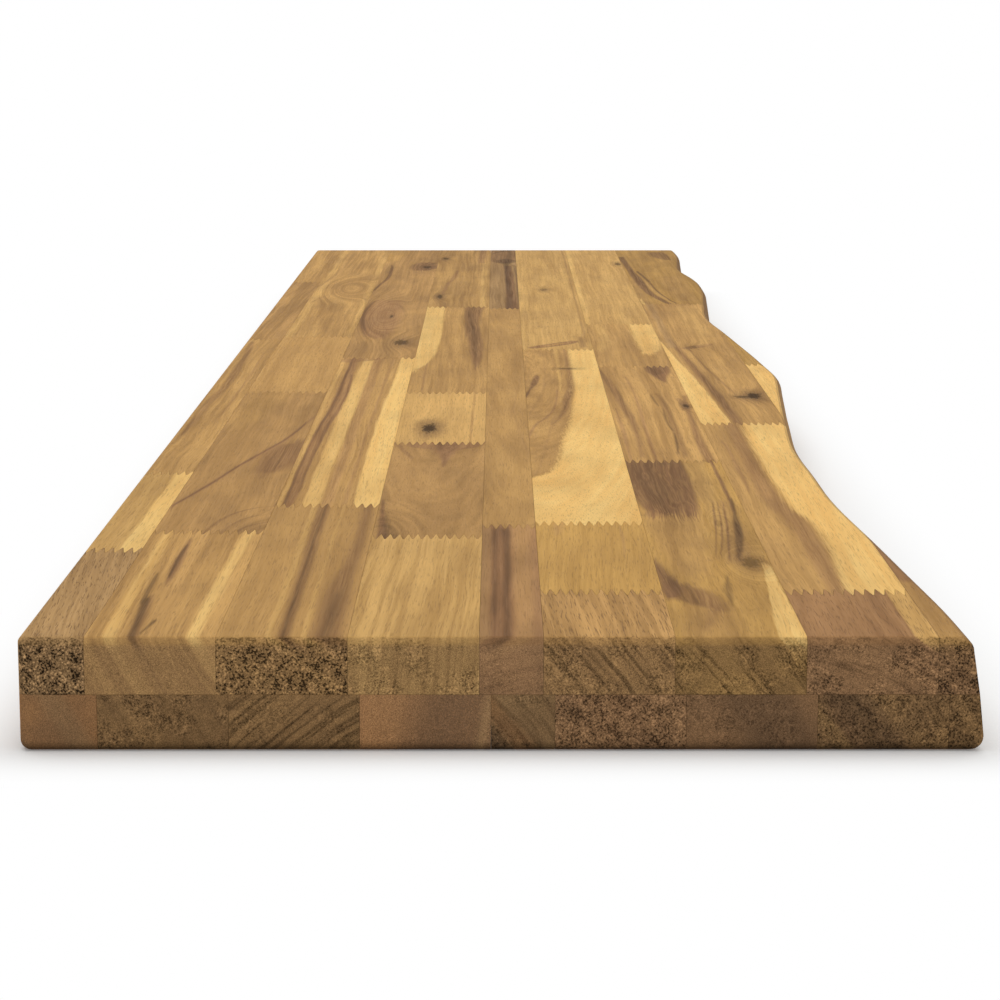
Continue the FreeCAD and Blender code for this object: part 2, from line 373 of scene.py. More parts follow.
def figure_group() -> bpy.types.NodeTree:
    """Builds the group that works out a block's growth rings, fibres, pores and clouds.

    The place is first moved by a slow and a quick noise. A ring is then a circle about the
    tree's centre line, so the distance from that line, and the push of each knot, tells
    the ring. Broad and fine lines are noises of that distance, drawn out along the board,
    and fibres and pores are noises of the place itself, drawn out in the same way. Each
    one's middle range is then stretched to run from 0 to 1. The seed moves every noise.

    Returns:
        The node group.
    """
    group = Group(
        "acacia_figure",
        kinds("Warp,Curl,Ring,Push,Seed", "Place,Pith,Slant"),
        kinds("Broad,Fine,Fibre,Pores,Cloud,Drift", "Shifted"),
    )
    g = group.given
    seed_step, seed_jump = (17.3, 9.1, 5.7), (40.0, 40.0, 40.0)
    runs, turns, drift_reach = 1 / 260, 3.0, 1.2
    seed = group.vector("MULTIPLY", group.join(g["Seed"], g["Seed"], g["Seed"]), seed_step)
    shifted = group.vector("ADD", g["Place"], group.vector("MULTIPLY", seed, seed_jump))
    slow = group.wander(shifted, Grain.SLOW)
    quick = group.wander(shifted, Grain.QUICK)
    swing = group.join(g["Warp"], 0.0, g["Warp"])
    curl = group.join(g["Curl"], 0.0, g["Curl"])
    moved = group.vector("ADD", g["Place"], group.vector("MULTIPLY", slow, swing))
    moved = group.vector("ADD", moved, group.vector("MULTIPLY", quick, curl))
    away = group.vector("SUBTRACT", moved, g["Pith"])
    x, y, z = group.split(away)
    slant_x, _, slant_z = group.split(g["Slant"])
    x = group.minus(x, group.times(y, slant_x))
    z = group.minus(z, group.times(y, slant_z))
    radius = group.plus(group.length(group.join(x, 0.0, z)), g["Push"])
    rings = group.math("DIVIDE", radius, g["Ring"])
    run = group.times(y, runs)
    turn = group.times(group.math("ARCTAN2", x, z), turns)
    lined = group.vector("ADD", group.join(rings, run, turn), seed)
    broad = group.noise(lined, Grain.BROAD)
    fine = group.noise(lined, Grain.FINE)
    sloped = group.vector("ADD", group.join(x, y, z), seed)
    fibre = group.noise(sloped, Grain.FIBRE)
    pores = group.noise(sloped, Grain.PORE)
    cloud = group.noise(shifted, Grain.CLOUD)
    drift, _, _ = group.split(quick)
    return group.give(
        Broad=group.ramp(broad, 0.3, 0.7),
        Fine=group.ramp(fine, 0.32, 0.68),
        Fibre=group.ramp(fibre, 0.3, 0.7),
        Pores=group.ramp(pores, 0.55, 0.68),
        Cloud=group.ramp(cloud, 0.35, 0.7),
        Drift=group.times(drift, drift_reach),
        Shifted=shifted,
    )


def end_grain_group() -> bpy.types.NodeTree:
    """Builds the group that works out the speckle of sawn end grain.

    A noise a little over a millimetre wide, drawn into clusters by a wider one, gives
    dark pits in its lows and light ridges in its highs. They are strong in some patches
    and weak in others, and a finer noise lies over all. Both fine noises are tilted, so
    that the sawn face doesn't cut them along their own rows.

    Returns:
        The node group, which gives how far the wood is brightened or darkened, about 0.
    """
    group = Group("end_grain", kinds("Coarse", "Shifted"), kinds("Grit,Pits"))
    g = group.given
    tilt = (0.6, 0.4, 0.5)
    clustering, pit_depth, speck_strength = 0.5, -0.72, 1.9
    pit_range, ridge_range = (0.34, 0.45), (0.54, 0.7)
    patch_range, dense_range = (0.34, 0.6), (0.6, 0.9)
    tilted = group.node(
        "VectorRotate", {"Vector": g["Shifted"], "Rotation": tilt}, rotation_type="EULER_XYZ"
    ).outputs[0]
    pits = group.noise(tilted, Grain.PIT)
    cluster = group.noise(g["Shifted"], Grain.CLUSTER)
    pits = group.times_plus(group.minus(cluster, NOISE_MEAN), clustering, pits)
    patch = group.noise(g["Shifted"], Grain.PATCH)
    speck = group.noise(tilted, Grain.SPECK)
    dense = group.ramp(g["Coarse"], *dense_range)
    open_wood = group.math("MAXIMUM", group.ramp(patch, *patch_range), dense)
    open_wood = group.times(open_wood, g["Coarse"])
    low = group.times(group.invert(group.ramp(pits, *pit_range)), open_wood)
    high = group.times(group.ramp(pits, *ridge_range), open_wood)
    grit = group.times_plus(low, pit_depth, high)
    grit = group.times_plus(group.minus(speck, NOISE_MEAN), speck_strength, grit)
    return group.give(Grit=grit, Pits=low)


def trace_group() -> bpy.types.NodeTree:
    """Builds the group that carries a place along its growth ring to the shown face.

    Near one block a ring is close to a straight line that leans across by so much for
    each millimetre of depth, so a streak that is drawn on the face shows in the end
    grain as a leaning stripe below it.

    Returns:
        The node group.
    """
    group = Group("trace", kinds("Level,Lean,Drift", "Place"), kinds(vectors="Traced"))
    g = group.given
    x, y, z = group.split(g["Place"])
    depth = group.minus(g["Level"], z)
    x = group.plus(x, group.times(depth, g["Lean"]))
    return group.give(Traced=group.join(group.plus(x, g["Drift"]), y, depth))


def streak_group() -> bpy.types.NodeTree:
    """Builds the group that masks a stripe along its path.

    The path's curve gives the stripe's middle and width at each place along. The mask is
    full inside half that width and fades over the soft margin, which the fibres make
    ragged. It fades at both ends, each fibre at its own place, and with the depth below
    the face.

    Returns:
        The node group.
    """
    group = Group(
        "grain_streak",
        kinds("Across,Reach,Widest,Start,End,Soft,Fade,Strength,Fibre", "Traced,Path"),
        kinds("Mask"),
    )
    g = group.given
    x, y, depth = group.split(g["Traced"])
    side_loose, end_loose, fibre_share = 0.4, 0.7, (0.35, 0.72)
    thinnest, shallow, deep, lost = 0.5, 0.5, 6.0, -0.85
    buried = group.ramp(depth, shallow, deep)
    bend, share, _ = group.split(g["Path"])
    line = group.times_plus(bend, g["Reach"], g["Across"])
    half = group.times(group.times(share, g["Widest"]), 0.5)
    loose = group.minus(g["Fibre"], NOISE_MEAN)
    off = group.math("ABSOLUTE", group.minus(x, line))
    off = group.times_plus(group.times(loose, g["Soft"]), side_loose, off)
    margin = group.times(g["Soft"], 0.5)
    inner = group.minus(half, margin)
    outer = group.plus(half, margin)
    across = group.invert(group.ramp(off, inner, outer))
    thin = group.ramp(half, 0.0, thinnest, smooth=False)
    y = group.times_plus(group.times(loose, g["Fade"]), end_loose, y)
    rise = group.ramp(y, group.minus(g["Start"], g["Fade"]), g["Start"])
    fall = group.invert(group.ramp(y, g["End"], group.plus(g["End"], g["Fade"])))
    mask = group.times(across, thin)
    mask = group.times(mask, group.times(rise, fall))
    patchy = group.times_plus(g["Fibre"], *fibre_share)
    patchy = group.times(patchy, g["Strength"])
    patchy = group.times(patchy, group.times_plus(buried, lost, 1.0))
    return group.give(Mask=group.math("MINIMUM", group.times(mask, patchy), 1.0))


def knot_group() -> bpy.types.NodeTree:
    """Builds the group of one knot: a dark core, a halo, and a push that turns the rings.

    The distance from its middle, in half widths and half lengths, is 1 at its rim, which
    a noise of the direction draws out into flecks.

    Returns:
        The node group.
    """
    group = Group(
        "knot", kinds("Turn,Dark", "Place,Centre,Size"), kinds("Core,Halo,Push")
    )
    g = group.given
    away = group.vector("DIVIDE", group.vector("SUBTRACT", g["Place"], g["Centre"]), g["Size"])
    x, y, _ = group.split(away)
    flat = group.join(x, y, 0.0)
    far = group.length(flat)
    ray = group.vector("ADD", group.vector("NORMALIZE", flat), g["Centre"])
    ray = group.vector("ADD", ray, group.join(0.0, 0.0, group.times(far, 0.5)))
    flecks = group.noise(ray, Grain.FLECK)
    rough = group.noise(g["Place"], Grain.ROUGH)
    core_rim, halo_rim, swell_rim, raggedness = (0.45, 1.15), (0.7, 2.8), (0.0, 4.0), 1.1
    uneven = group.minus(group.plus(flecks, rough), 1.0)
    ragged = group.times_plus(uneven, raggedness, far)
    core = group.invert(group.ramp(ragged, *core_rim))
    halo = group.invert(group.ramp(ragged, *halo_rim))
    swell = group.invert(group.ramp(far, *swell_rim))
    return group.give(
        Core=group.times(core, g["Dark"]),
        Halo=group.times(halo, g["Dark"]),
        Push=group.times(swell, g["Turn"]),
    )


def surface_group() -> bpy.types.NodeTree:
    """Builds the group that turns tones and masks into colour, roughness and height.

    The end grain is the block's colour drawn towards a plain brown, darkened, and then
    brightened and darkened by its grit and its rings, and darkened towards the underside by
    painted shade. At the top arris it fades into the colour of the face, partly for the face
    grain that the rounding cuts and partly as a painted highlight on the rounded edge. The
    tree's own edge is darker and redder, partly for its own wood and partly as painted shade
    on its shoulder.

    Returns:
        The node group.
    """
    group = Group(
        "acacia_surface",
        kinds(
            "Fibre,Fine,Pores,Cloud,Grit,Pits,Core,Halo,Pore Depth,Cloud Depth,Shade,"
            "End Shade,End Lines,Natural,Top",
            "Normal,Place", "Color",
        ),
        kinds("Roughness,Height", colors="Color"),
    )
    g = group.given
    soot, umber = (0.052, 0.027, 0.009, 1.0), (0.15, 0.08, 0.038, 1.0)
    sawn_brown = (0.405, 0.247, 0.14, 1.0)
    # The live edge's own darker colour, deepened by painted shade on its shoulder.
    bark_and_shade_dark, bark_and_shade_light = (0.12, 0.062, 0.03, 1.0), (0.23, 0.13, 0.06, 1.0)
    # Shares of each mark in the colour, where the sides take over, and the relief.
    fibre_mark, halo_mark, core_mark, bark_and_shade_mark = 0.1, 0.6, 0.95, 0.8
    sawn_share, line_mark, darkest, rim_share = 0.35, -0.7, 0.12, 0.55
    end_turn, side_turn, rim_depth, ring_range = (0.3, 0.65), (0.2, 0.6), (1.6, 3.6), (0.0, 0.4)
    # How high the painted shade at the foot of the end grain reaches, and how dark it gets.
    foot_height, foot_gain, foot_shade = 4.5, 0.6, 0.4
    plain_rough, fibre_rough, end_rough = 0.6, 0.1, 0.2
    pore_dip, pit_dip, fibre_dip = 0.5, 1.6, 0.2
    nx, ny, _ = group.split(g["Normal"])
    _, _, z = group.split(g["Place"])
    end = group.ramp(group.math("ABSOLUTE", ny), *end_turn)
    side = group.times(group.ramp(nx, *side_turn), g["Natural"])
    # Near the top arris: partly the face grain that the rounding cuts, partly a painted highlight on
    # the rounded edge.
    below = group.minus(g["Top"], z)
    arris_highlight = group.invert(group.ramp(below, *rim_depth))
    pores = group.times(g["Pores"], g["Pore Depth"])
    cloud = group.times(g["Cloud"], g["Cloud Depth"])
    shade = group.join(g["Shade"], g["Shade"], g["Shade"])
    colour = group.mix(1.0, g["Color"], shade, blend="MULTIPLY")
    colour = group.mix(group.times(g["Fibre"], fibre_mark), colour, umber)
    colour = group.mix(cloud, colour, umber)
    colour = group.mix(pores, colour, umber)
    colour = group.mix(group.times(g["Halo"], halo_mark), colour, umber)
    colour = group.mix(group.times(g["Core"], core_mark), colour, soot)
    lines = group.times(group.invert(group.ramp(g["Fine"], *ring_range)), g["End Lines"])
    bright = group.times_plus(lines, line_mark, group.plus(g["Grit"], 1.0))
    bright = group.times(group.math("MAXIMUM", bright, darkest), g["End Shade"])
    sawn = group.mix(sawn_share, colour, sawn_brown)
    sawn = group.mix(1.0, sawn, group.join(bright, bright, bright), blend="MULTIPLY")
    # Painted shade: the end grain darkens towards the underside, to 0.4 of its colour at the floor.
    painted_foot_shade = group.times_plus(group.ramp(z, 0.0, foot_height), foot_gain, foot_shade)
    sawn = group.mix(1.0, sawn, group.join(painted_foot_shade, painted_foot_shade, painted_foot_shade), blend="MULTIPLY")
    # Partly painted highlight: the end grain turns back towards the lighter face colour at the top
    # arris.
    sawn = group.mix(group.times(arris_highlight, rim_share), sawn, colour)
    colour = group.mix(end, colour, sawn)
    # The tree's own edge, on faces turned outwards: partly its own darker wood, partly painted shade
    # where its rounded shoulder curves away from the light.
    bark_and_shade = group.mix(g["Fibre"], bark_and_shade_dark, bark_and_shade_light)
    colour = group.mix(group.times(side, bark_and_shade_mark), colour, bark_and_shade)
    rough = group.times_plus(g["Fibre"], fibre_rough, plain_rough)
    rough = group.times_plus(end, end_rough, rough)
    dips = group.times_plus(pores, pore_dip, g["Core"])
    dips = group.times_plus(group.times(g["Pits"], end), pit_dip, dips)
    dips = group.times_plus(g["Fibre"], fibre_dip, dips)
    return group.give(Color=colour, Roughness=rough, Height=group.invert(dips))


@dataclass(frozen=True)
class AcaciaWood:
    """The wood of every block: the shared groups, and the material each block gets.

    Args:
        relief: How deep a full dip of the surface is, in millimetres.
        steepest: The most that a growth ring may lean across for each millimetre down.
        gloss: How strongly the oiled surface reflects, 0.5 being plain varnish.
        broad_share: The broad lines' share in the light and dark, the rest being the fine.
    """

    figure: bpy.types.NodeTree
    end_grain: bpy.types.NodeTree
    trace: bpy.types.NodeTree
    streak: bpy.types.NodeTree
    knot: bpy.types.NodeTree
    surface: bpy.types.NodeTree
    relief: float = 0.25
    steepest: float = 1.4
    gloss: float = 0.02
    broad_share: float = 0.55

    def lean(self, pith: tuple[float, float]) -> float:
        """Gives how far a ring leans across for each millimetre down at a block's middle."""
        if abs(pith[0]) < 1:
            return 0.0
        return float(np.clip(-pith[1] / pith[0], -self.steepest, self.steepest))

    def material(
        self, node: str, figure: Figure, level: float, natural: float, seed: float
    ) -> bpy.types.Material:
        """Builds one block's material.

        Args:
            node: The block's CAD node, whose name the material takes.
            figure: How the block was sawn and what shows in it.
            level: The height of the face on which its streaks are placed.
            natural: 1 where the block's right side is the tree's own edge, otherwise 0.
            seed: Its own number, which sets its grain apart.

        Returns:
            The material.
        """
        low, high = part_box(node)
        middle = (low + high) / (2 * MM) - Vector((STRAIGHT_EDGE, NEAR_END, 0.0))
        made = bpy.data.materials.new(node + "_wood")
        made.use_nodes = True
        tree = Tree(made.node_tree)
        tree.tree.nodes.clear()
        point = tree.node("TexCoord").outputs["Object"]
        place = tree.node(
            "Mapping",
            {
                "Vector": point,
                "Location": (-STRAIGHT_EDGE, -NEAR_END, 0.0),
                "Scale": (1 / MM, 1 / MM, 1 / MM),
            },
        ).outputs[0]
        core, halo, push = self.knots(tree, place, figure)
        pith = (middle.x + figure.pith[0], middle.y, middle.z + figure.pith[1])
        grain = tree.use(
            self.figure, Place=place, Pith=pith, Slant=(figure.slant[0], 0.0, figure.slant[1]),
            Warp=figure.warp, Curl=figure.curl, Ring=figure.ring, Push=push, Seed=seed,
        )
        lines = tree.times(grain["Broad"], self.broad_share)
        lines = tree.times_plus(grain["Fine"], 1 - self.broad_share, lines)
        lines = tree.times_plus(tree.minus(lines, 0.5), figure.contrast, 0.5)
        lines = tree.ramp(lines, 0.0, 1.0, smooth=False)
        colour = tree.mix(lines, linear(figure.tone.value[1]), linear(figure.tone.value[0]))
        traced = tree.use(
            self.trace, Place=place, Level=level, Lean=self.lean(figure.pith),
            Drift=grain["Drift"],
        )["Traced"]
        _, along, _ = tree.split(traced)
        for streak in figure.streaks:
            across, lengths, widths = zip(*streak.path)
            mask = tree.use(
                self.streak, Traced=traced, Path=tree.path(along, streak), Across=across[0],
                Reach=streak.reach, Widest=max(widths), Start=lengths[0], End=lengths[-1],
                Soft=streak.soft, Fade=streak.fade, Strength=streak.strength,
                Fibre=grain["Fibre"],
            )["Mask"]
            light, dark = streak.tone.value
            colour = tree.mix(mask, colour, tree.mix(lines, linear(dark), linear(light)))
        face = tree.node("NewGeometry").outputs["Normal"]
        sawn = tree.use(self.end_grain, Shifted=grain["Shifted"], Coarse=figure.pits)
        skin = tree.use(
            self.surface, Color=colour, Fibre=grain["Fibre"], Fine=grain["Fine"],
            Pores=grain["Pores"], Cloud=grain["Cloud"], Grit=sawn["Grit"], Pits=sawn["Pits"],
            Core=core, Halo=halo, Pore_Depth=figure.pores, Cloud_Depth=figure.cloud,
            Shade=figure.shade ** GAMMA, End_Shade=figure.end_shade, End_Lines=figure.end_lines,
            Natural=natural, Top=TOP_FACE, Normal=face, Place=place,
        )
        bump = tree.node(
            "Bump", {"Strength": 1.0, "Distance": self.relief * MM, "Height": skin["Height"]}
        ).outputs[0]
        shader = tree.node(
            "BsdfPrincipled",
            {
                "Base Color": skin["Color"], "Roughness": skin["Roughness"], "Normal": bump,
                "Specular IOR Level": self.gloss,
            },
        ).outputs[0]
        tree.node("OutputMaterial", {"Surface": shader})
        return made

    def knots(self, tree: Tree, place: Socket, figure: Figure) -> tuple[Value, Value, Value]:
        """Places a figure's knots in a material.

        Args:
            tree: The material's tree.
            place: The place on the board, in millimetres.
            figure: The figure with the knots.

        Returns:
            The darkness of the cores, that of the halos, and how far the rings are pushed.
        """
        core = halo = push = None
        for knot in figure.knots:
            made = tree.use(
                self.knot, Place=place, Centre=(*knot.centre, 0.0), Size=(*knot.size, 1.0),
                Turn=knot.push, Dark=knot.dark,
            )
            core = made["Core"] if core is None else tree.math("MAXIMUM", core, made["Core"])
            halo = made["Halo"] if halo is None else tree.math("MAXIMUM", halo, made["Halo"])
            push = made["Push"] if push is None else tree.plus(push, made["Push"])
        return core, halo, push


@dataclass(frozen=True)
class Stave:
    """A row of blocks, finger-jointed end to end.

    Args:
        name: What the blocks' nodes are called, before their numbers.
        figures: The blocks' finishes, from the near end to the far one.
        natural: Whether the row's right side is partly the tree's own edge.
    """

    name: str
    figures: tuple[Figure, ...]
    natural: bool = False

    def dress(self, wood: AcaciaWood, level: float, first_seed: int) -> None:
        """Gives each block its own wood.

        Args:
            wood: The wood that makes the materials.
            level: The height of the face on which its streaks are placed.
            first_seed: The number of its first block.
        """
        for number, figure in enumerate(self.figures):
            node = f"{self.name}_block_{number + 1}"
            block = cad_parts[node]
            seed = float(first_seed + number)
            finish = wood.material(node, figure, level, float(self.natural), seed)
            for slot in block.material_slots:
                slot.material = finish
            log.info("dressed %s in %s", node, figure.tone.name.lower())


@dataclass(frozen=True)
class Layer:
    """One of the two layers of staves.

    Args:
        level: The height of the face on which its streaks are placed.
        first_seed: The number of its first block.
        staves: Its staves, from the straight edge to the live one.
    """

    level: float
    first_seed: int
    staves: tuple[Stave, ...]

    def dress(self, wood: AcaciaWood) -> None:
        """Dresses every stave in turn."""
        seed = self.first_seed
        for stave in self.staves:
            stave.dress(wood, self.level, seed)
            seed += len(stave.figures)


TAN, GOLDEN, SAPWOOD, OLIVE, GREY = Tone.TAN, Tone.GOLDEN, Tone.SAPWOOD, Tone.OLIVE, Tone.GREY
BROWN, RED, ORANGE, STREAK, BLACK = Tone.BROWN, Tone.RED, Tone.ORANGE, Tone.STREAK, Tone.BLACK

TOP_STAVES = (Stave("top_straight_edge", (
    Figure(GREY, shade=1.03, pith=(120, 30), slant=(-0.06, 0), contrast=1.3, pores=0.65, pits=1.5,
           end_shade=0.51, end_lines=0.1),
    Figure(GOLDEN, shade=0.97, contrast=0.9, slant=(0.01, 0), streaks=(
        drawn(SAPWOOD, 1.2, 2, (18.6, 150, 9.4), (19, 250, 8.6), (19.4, 360, 8)),
    )),
    Figure(TAN, warp=10, curl=2.5, streaks=(
        drawn(STREAK, 0.6, 2, (5, 470, 2), (5.4, 560, 4), (8.4, 690, 4.6), (7.4, 780, 4), (5, 870, 3)),
        drawn(RED, 0.5, 1.4, (17.5, 550, 1.4), (18.2, 690, 1.6), (17, 800, 1), fade=30),
    )),
    Figure(BROWN, slant=(0.03, 0), contrast=1.6),
    Figure(TAN, contrast=1.4),
)), Stave("top_stave_2", (
    Figure(TAN, shade=1.02, contrast=1.5, pith=(200, 120), pits=0.2, end_shade=0.75, end_lines=0,
           streaks=(
        drawn(SAPWOOD, 0.55, 3, (31, -20, 5), (30, 90, 5), (29, 210, 3)),
        drawn(SAPWOOD, 0.65, 2.5, (60, -20, 4), (60.6, 80, 4.6), (61.4, 140, 4.5), (63, 210, 4)),
        drawn(BROWN, 0.6, 6, (44, -20, 9), (45, 100, 10), (47, 210, 8)),
        drawn(STREAK, 0.7, 2.4, (40, -20, 4), (39, 16, 4), (38.4, 44, 4), (38, 66, 2)),
        drawn(BLACK, 0.7, 1.6, (39, -20, 2), (38.4, 16, 1.8), (37.6, 44, 2.4), (37, 66, 1), fade=6),
        drawn(BLACK, 0.6, 1.2, (35.8, 56, 1), (35.4, 84, 1.8), (35, 108, 1), fade=6),
        drawn(BLACK, 0.7, 1.2, (41.6, 8, 0.8), (44, 26, 1.6), fade=5),
        drawn(STREAK, 0.9, 2.4, (40.6, 96, 1.6), (40.2, 130, 3.6), (40, 175, 2)),
        drawn(BLACK, 0.75, 1.4, (40, 104, 0.8), (39.6, 134, 1.8), (39.8, 166, 1), fade=6),
    )),
    Figure(BROWN, contrast=0.8, cloud=0.3, streaks=(
        drawn(STREAK, 0.8, 10, (56, 345, 4), (60, 380, 20), (62, 412, 22), (66, 440, 10), fade=18),
        drawn(OLIVE, 0.4, 12, (30, 500, 10), (34, 560, 18), (36, 625, 20), fade=30),
        drawn(RED, 0.95, 1.8, (23, 258, 2), (31, 298, 2.6), (41, 360, 2.6), (50, 408, 2.8),
              (58, 450, 2.6), (63, 495, 2), (67, 528, 1.6)),
        drawn(STREAK, 1, 1.2, (24, 262, 1), (32, 304, 1.2), (42, 366, 1.4), (51, 414, 1.4),
              (59, 458, 1.2), (64, 505, 1)),
        drawn(STREAK, 0.6, 1.6, (44, 190, 2), (48, 226, 2), (57, 250, 1.8), (68, 258, 1.4)),
        drawn(STREAK, 0.5, 1.4, (50, 190, 1.6), (54, 216, 1.6), (61, 234, 1.4), (68, 238, 1.4)),
        drawn(STREAK, 0.5, 1.4, (56, 190, 1.6), (59, 206, 1.6), (64, 216, 1.4), (68, 220, 1.4)),
    ), knots=(Knot((70, 184), (7, 16), 0, 36),)),
    Figure(TAN, shade=1.03, contrast=0.7, cloud=0.1),
    Figure(TAN, contrast=1.5, cloud=0.2, streaks=(
        drawn(GOLDEN, 0.9, 4, (26, 900, 6), (28, 1610, 4)),
        drawn(BROWN, 0.9, 2, (26, 1130, 1.4), (34, 1180, 2), (42, 1210, 2.4), (52, 1222, 2.4)),
        drawn(BROWN, 0.9, 2, (22, 1240, 2), (28, 1300, 3), (33, 1400, 3), (36, 1600, 3)),
        drawn(GOLDEN, 0.8, 4, (65, 900, 5), (65, 1610, 4)),
    ), knots=(Knot((46, 1240), (7, 34), 0, 30),)),
)), Stave("top_stave_3", (
    Figure(TAN, shade=0.99, contrast=0.7, pith=(-90, -130), pits=1.15, end_shade=0.56, end_lines=0.1,
           streaks=(
        drawn(GOLDEN, 0.9, 1.6, (85.6, -20, 2), (85.6, 150, 2.6), (84.6, 275, 2)),
        drawn(STREAK, 0.75, 2.4, (90.6, -20, 4), (90.6, 100, 4.4), (89.8, 200, 5), (89.6, 275, 5)),
        drawn(BLACK, 0.5, 0.9, (90.8, -20, 1), (90.2, 120, 1.2), (90.2, 275, 1)),
        drawn(GOLDEN, 0.8, 1.4, (98, -20, 2), (97.6, 120, 1.6), (98, 275, 1.4)),
        drawn(STREAK, 0.75, 5, (106, -20, 11), (105.6, 60, 10), (107.4, 130, 6), (108.6, 200, 4.4),
              (108.4, 275, 5)),
        drawn(BLACK, 0.55, 4, (104.6, -10, 2.4), (105, 30, 4), (105.6, 62, 2.4), fade=24),
    )),
    Figure(TAN, shade=1.01, streaks=(
        drawn(GOLDEN, 0.9, 1.2, (69.6, 250, 2), (69.6, 800, 2)),
        drawn(RED, 0.9, 2, (74, 250, 4), (73.4, 400, 4.6), (74.6, 500, 5.6), (77, 620, 7.4),
              (76.4, 700, 5.6), (75.6, 800, 4)),
        drawn(STREAK, 0.9, 1.2, (71.8, 250, 1.4), (71.4, 400, 1.4), (72.6, 500, 1.6), (75, 620, 1.8),
              (74.6, 700, 1.6), (75, 800, 1)),
        drawn(STREAK, 0.8, 1.2, (75.6, 300, 1), (75.4, 400, 1.2), (76.6, 500, 1.6), (79.4, 620, 1.8),
              (78, 700, 1.2)),
        drawn(SAPWOOD, 0.65, 2, (83, 250, 7), (83.6, 500, 7.6), (85, 800, 6.4)),
        drawn(RED, 0.55, 2.4, (90.4, 250, 4.4), (90.4, 500, 5), (91, 800, 6)),
        drawn(RED, 0.5, 1.6, (97.6, 250, 2), (98, 500, 1.6), (100, 800, 1.4)),
        drawn(SAPWOOD, 1, 1.6, (107.6, 250, 12.4), (107.6, 500, 12.4), (108.6, 650, 10.4),
              (109, 800, 9)),
        drawn(RED, 0.7, 6, (74, 770, 10), (82, 786, 24), (96, 800, 10), fade=6),
    )),
    Figure(BROWN, contrast=1.3, cloud=0.25, streaks=(
        drawn(RED, 0.9, 8, (86, 900, 8), (83, 960, 24), (82, 1060, 28), (84, 1140, 18)),
        drawn(STREAK, 0.9, 3, (80, 905, 1.6), (72, 970, 3), (69, 1040, 3.4), (71, 1110, 2.4),
              (78, 1150, 1)),
        drawn(STREAK, 0.95, 1.6, (69, 1225, 1.4), (72, 1280, 2.4), (75.4, 1330, 2.8), (75.6, 1400, 2.2),
              (74, 1440, 1)),
        drawn(BROWN, 0.8, 6, (90, 1230, 10), (92, 1300, 26), (90, 1370, 24), (88, 1400, 16)),
        drawn(STREAK, 0.5, 1.6, (97, 1330, 1), (100, 1300, 1.6), (104, 1270, 1.6)),
        drawn(STREAK, 0.8, 6, (100, 1396, 12), (102, 1420, 22), (102, 1440, 22), (104, 1466, 14),
              fade=8),
        drawn(OLIVE, 0.5, 8, (68, 1470, 8), (72, 1530, 20), (74, 1600, 24)),
    ), knots=(
        Knot((82, 1040), (6, 50), 0, 30),
        Knot((101, 873), (5, 18), 0.75, 10),
        Knot((89.3, 1033), (1.1, 9), 0.7, 1),
        Knot((105, 1424), (4, 13), 0.85, 8),
    )),
)), Stave("top_stave_4", (
    Figure(GOLDEN, shade=0.985, contrast=1.5, pith=(-260, 20), slant=(0.03, 0), pits=0.55,
           end_shade=0.69, end_lines=0.15),
    Figure(BROWN, shade=0.98, contrast=1.2, pith=(2, -24), slant=(0, 0.07), streaks=(
        drawn(RED, 0.95, 4, (138.6, 368, 1), (138.8, 395, 6), (139, 416, 13), (138, 428, 34),
              (138, 448, 40), fade=6),
        drawn(STREAK, 0.85, 3, (138.8, 370, 0.8), (139, 400, 4), (139.4, 430, 12), (139.4, 448, 16),
              fade=6),
        drawn(STREAK, 0.6, 2, (123, 392, 1.6), (118, 418, 3), (113, 446, 3)),
        drawn(STREAK, 0.9, 1.6, (117.5, 180, 5), (116, 215, 3), (114.4, 268, 1.4)),
        drawn(BLACK, 0.6, 3, (122, 180, 11), (119.6, 198, 5), (117, 240, 0.8)),
    ), knots=(Knot((119, 190), (5, 22), 0, 16),)),
    Figure(GOLDEN, shade=1.03, contrast=0.6, streaks=(
        drawn(BROWN, 0.7, 2, (128.4, 446, 1), (128.7, 480, 2.6)),
        drawn(BROWN, 0.8, 1, (150.4, 430, 1.2), (151.4, 640, 1.4)),
    ), knots=(Knot((129.2, 490), (4.4, 18), 1, 8),)),
    Figure(TAN, shade=0.98, slant=(-0.01, 0), contrast=1.2, streaks=(
        drawn(RED, 0.6, 1.2, (121.6, 640, 1), (121, 700, 1.4), (121.6, 780, 1)),
        drawn(SAPWOOD, 0.85, 2.4, (113, 735, 6), (117, 790, 13), (119, 850, 14.6), (119, 1110, 13),
              fade=24),
        drawn(STREAK, 0.85, 4, (151, 750, 3), (150.6, 830, 9), (149, 900, 10), (146.6, 1000, 10),
              (147, 1060, 13), (148, 1110, 17), fade=30),
        drawn(BLACK, 0.3, 2, (151, 800, 1), (149.4, 900, 2.4), (145.4, 1000, 2), (143, 1060, 1.6),
              fade=30),
    )),
    Figure(TAN, shade=0.95, contrast=1.5, cloud=0.25, streaks=(
        drawn(GOLDEN, 0.95, 2, (153.5, 1090, 5), (153.5, 1460, 4.4)),
        drawn(OLIVE, 0.4, 8, (121, 1180, 8), (119, 1130, 14), (121, 1100, 20)),
        drawn(RED, 0.8, 3, (122, 1200, 2), (124, 1260, 3), (129, 1330, 4), (131, 1390, 3)),
        drawn(RED, 0.8, 3, (150, 1470, 5), (151, 1540, 6), (152, 1610, 5)),
    ), knots=(Knot((120.6, 1174), (2.6, 15), 0.8, 6), Knot((118.6, 1508), (3, 12), 0.75, 6))),
)), Stave("top_narrow_stave", (
    Figure(RED, shade=1.05, pith=(20, -90), pits=0.25, cloud=0.35, end_shade=0.8, end_lines=0.1,
           streaks=(
